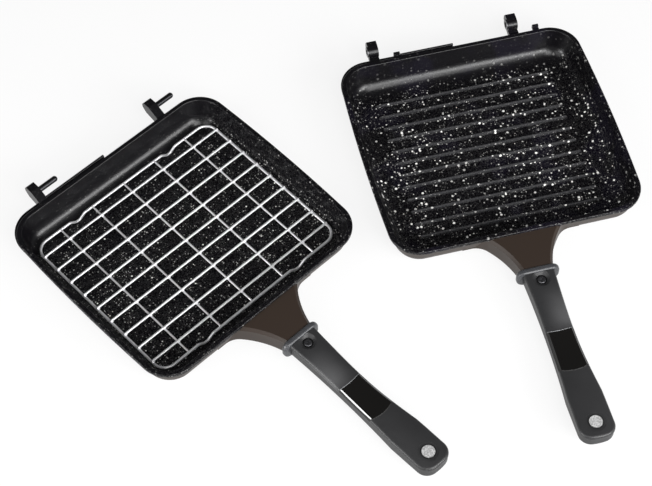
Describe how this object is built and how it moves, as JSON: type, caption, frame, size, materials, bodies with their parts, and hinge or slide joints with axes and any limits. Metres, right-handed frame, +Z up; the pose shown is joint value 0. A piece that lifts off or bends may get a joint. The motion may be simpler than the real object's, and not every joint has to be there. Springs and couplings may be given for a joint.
{
  "type": "double sided flip pan",
  "caption": "Two square cast non-stick pan halves with waisted handles, one ridged and one with a lift-out wire rack, that hook together at the back and fold shut face to face.",
  "frame": {"origin": "middle of the rack half's flat base, on the surface it stands on", "axes": "+Z up out of the open pan, +Y towards its hinge edge, its handle towards -Y"},
  "size_m": [0.5617, 0.5549, 0.0391],
  "materials": {
    "rack_pan_coat": "cast aluminium, matt black non-stick coat with pale speckles",
    "ridge_pan_coat": "cast aluminium, matt black non-stick coat with pale speckles",
    "guard_resin": "moulded heat-proof resin, satin dark grey",
    "grip_cover_resin": "soft-touch moulded resin, matt charcoal",
    "grip_body_resin": "moulded resin, matt charcoal",
    "gloss_inlay": "polished black resin",
    "screw_steel": "blackened steel button head",
    "magnet_plate": "nickel plated magnet disc",
    "pin_steel": "dark coated steel pin",
    "bush_steel": "steel bush, satin",
    "rack_wire": "chromed steel wire, bright"
  },
  "bodies": {
    "rack_half": {"rack_pan": "rack_pan_coat", "rack_half_guard_ring": "guard_resin", "rack_half_grip_cover": "grip_cover_resin", "rack_half_grip_body": "grip_body_resin", "rack_half_gloss_inlay": "gloss_inlay", "rack_half_handle_screw": "screw_steel", "rack_half_magnet": "magnet_plate", "hinge_pin_left": "pin_steel", "hinge_pin_right": "pin_steel"},
    "hinge_bushes": {"hinge_bush_left": "bush_steel", "hinge_bush_right": "bush_steel"},
    "ridge_half": {"ridge_pan": "ridge_pan_coat", "ridge_half_guard_ring": "guard_resin", "ridge_half_grip_cover": "grip_cover_resin", "ridge_half_grip_body": "grip_body_resin", "ridge_half_gloss_inlay": "gloss_inlay", "ridge_half_handle_screw": "screw_steel", "ridge_half_magnet": "magnet_plate"},
    "rack": {"rack_frame": "rack_wire", "rack_cross_wires": "rack_wire", "rack_stay_wires": "rack_wire"}
  },
  "joints": [
    {"name": "hook_on", "type": "hinge", "parent": "rack_half", "child": "hinge_bushes", "pos_m": [0.19194, 0.10554, 0], "axis": [0, 0, 1], "range_deg": [0, 209.76]},
    {"name": "fold", "type": "hinge", "parent": "hinge_bushes", "child": "ridge_half", "pos_m": [0.34678, -0.01035, 0.03215], "axis": [-0.8681, 0.4964, 0], "range_deg": [0, 180]},
    {"name": "rack_lift", "type": "slide", "parent": "rack_half", "child": "rack", "axis": [0, 0, 1], "range_m": [0, 0.036]}
  ]
}
